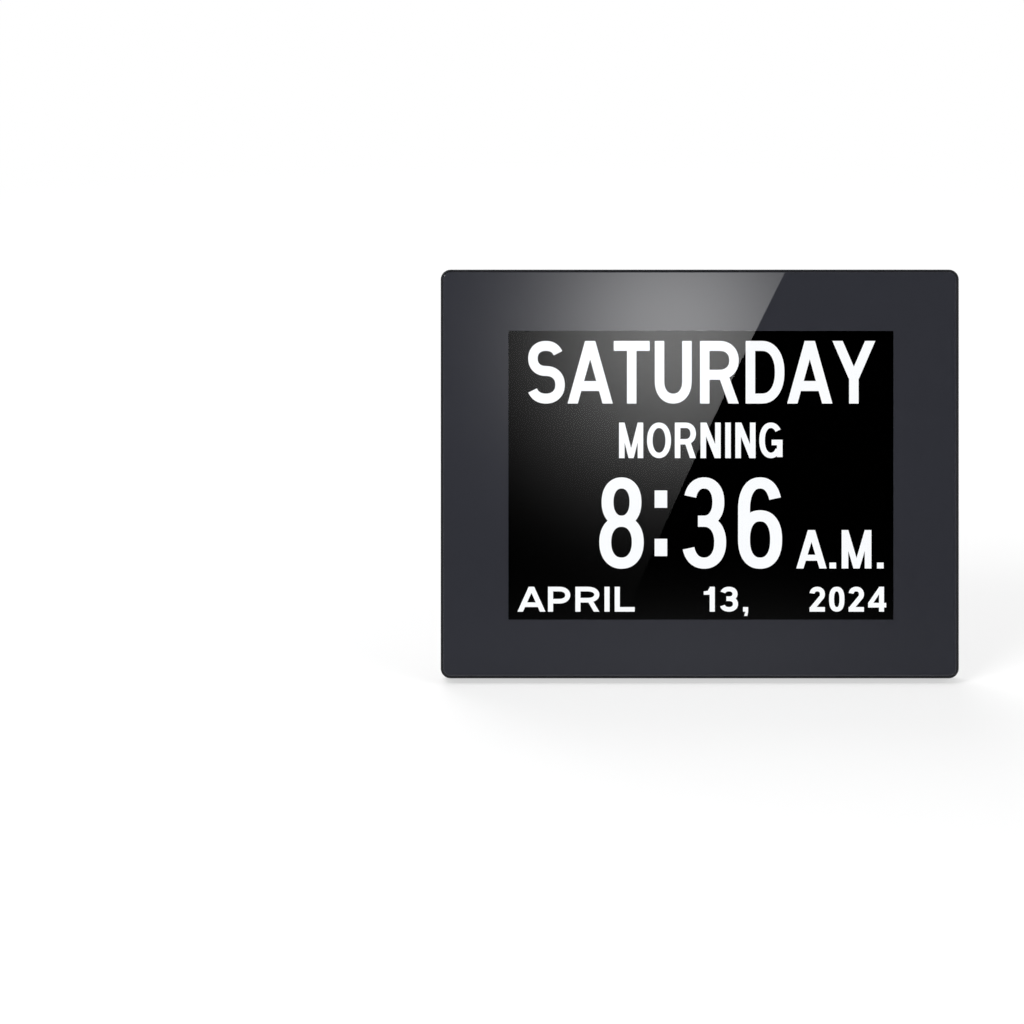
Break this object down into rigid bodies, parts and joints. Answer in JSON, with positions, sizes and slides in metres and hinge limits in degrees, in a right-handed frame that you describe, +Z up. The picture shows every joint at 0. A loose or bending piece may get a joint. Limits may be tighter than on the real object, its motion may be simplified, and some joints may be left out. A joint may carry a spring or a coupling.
{
  "type": "day clock",
  "caption": "Large-display day clock: flat black front panel, leaning case with rear keypad, vents, keyhole, sockets and a swivelling fold-out stand leg.",
  "frame": {"origin": "on the standing surface, in the middle of the footprint box", "axes": "+Z up, -Y out of the display, +X to the right seen from the front; the case leans back on its leg"},
  "size_m": [0.218, 0.1206, 0.1686],
  "materials": {
    "clear_acrylic": "clear, polished",
    "black_ink": "screen printed, flat",
    "adhesive_foam": "fine closed cell foam",
    "black_abs": "moulded, satin",
    "black_abs_textured": "moulded, fine spark texture",
    "black_abs_keys": "moulded, fine satin",
    "black_abs_stand": "moulded, satin",
    "zinc_steel": "zinc plated sheet",
    "display_glass": "polarised display glass",
    "diffuser_acrylic": "translucent white",
    "white_resin": "moulded",
    "tray_aluminium": "pressed sheet",
    "screw_steel": "nickel plated",
    "polyimide_flex": "film",
    "cable_film": "polyester film over tinned tracks",
    "brass": "turned",
    "circuit_board": "solder mask",
    "chip_resin": "moulded epoxy",
    "cell_steel": "stainless",
    "black_nylon": "moulded",
    "grey_rubber": "silicone",
    "magnet_steel": "nickel plated",
    "speaker_paper": "pressed paper",
    "lead_insulation": "smooth",
    "label_film": "matt film"
  },
  "bodies": {
    "case": {"front_panel": "clear_acrylic", "panel_border_print": "black_ink", "panel_tape": "adhesive_foam", "front_frame": "black_abs", "lcd_gasket": "adhesive_foam", "lcd_bezel": "zinc_steel", "lcd_glass": "display_glass", "lcd_light_guide": "diffuser_acrylic", "lcd_lamp_bar": "white_resin", "lcd_rear_tray": "tray_aluminium", "lcd_clips": "zinc_steel", "lcd_clip_screws": "screw_steel", "lcd_ribbon": "cable_film", "board_standoffs": "brass", "main_board": "circuit_board", "board_chips": "chip_resin", "board_screws": "screw_steel", "coin_cell_holder": "chip_resin", "coin_cell": "cell_steel", "dc_jack": "black_nylon", "dc_jack_pin": "brass", "usb_seat": "black_nylon", "usb_shell": "cell_steel", "usb_tongue": "white_resin", "key_board": "circuit_board", "key_board_screws": "screw_steel", "key_ribbon": "polyimide_flex", "tact_switches": "black_nylon", "nav_plungers": "white_resin", "nav_pivots": "black_nylon", "speaker_frames": "zinc_steel", "speaker_magnets": "magnet_steel", "speaker_cones": "speaker_paper", "speaker_leads": "lead_insulation", "rear_cover": "black_abs_textured", "case_screws": "screw_steel", "rating_label": "label_film"},
    "power_key": {"power_button": "black_abs_keys", "power_plunger": "white_resin"},
    "ok_key": {"ok_button": "black_abs_keys", "ok_plunger": "white_resin"},
    "menu_key": {"menu_button": "black_abs_keys", "menu_plunger": "white_resin"},
    "ring_web": {"nav_web": "grey_rubber"},
    "arrow_ring": {"nav_ring": "black_abs_keys"},
    "stand_turntable": {"stand_hub": "black_abs_stand", "stand_pin": "screw_steel", "hub_washer": "zinc_steel", "hub_wave_washer": "cell_steel", "hub_screw": "screw_steel"},
    "stand_arm": {"stand_leg": "black_abs_stand"}
  },
  "joints": [
    {"name": "power_press", "type": "slide", "parent": "case", "child": "power_key", "axis": [0, -0.9635, 0.2676], "range_m": [0, 0.0005], "stiffness_N_per_m": 900},
    {"name": "ok_press", "type": "slide", "parent": "case", "child": "ok_key", "axis": [0, -0.9635, 0.2676], "range_m": [0, 0.0005], "stiffness_N_per_m": 900},
    {"name": "menu_press", "type": "slide", "parent": "case", "child": "menu_key", "axis": [0, -0.9635, 0.2676], "range_m": [0, 0.0005], "stiffness_N_per_m": 900},
    {"name": "ring_tilt_up_down", "type": "hinge", "parent": "case", "child": "ring_web", "pos_m": [0.0426, -0.01662, 0.08038], "axis": [1, 0, 0], "range_deg": [-1.8, 1.8], "stiffness_Nm_per_rad": 0.7},
    {"name": "ring_tilt_left_right", "type": "hinge", "parent": "ring_web", "child": "arrow_ring", "pos_m": [0.0426, -0.01662, 0.08038], "axis": [0, 0.2676, 0.9635], "range_deg": [-1.8, 1.8], "stiffness_Nm_per_rad": 0.7},
    {"name": "stand_swivel", "type": "hinge", "parent": "case", "child": "stand_turntable", "pos_m": [-0.0295, -0.03176, 0.02771], "axis": [0, -0.9635, 0.2676], "range_deg": [0, 90]},
    {"name": "stand_fold", "type": "hinge", "parent": "stand_turntable", "child": "stand_arm", "pos_m": [-0.0295, -0.03176, 0.02771], "axis": [-1, 0, 0], "range_deg": [0, 90]}
  ]
}
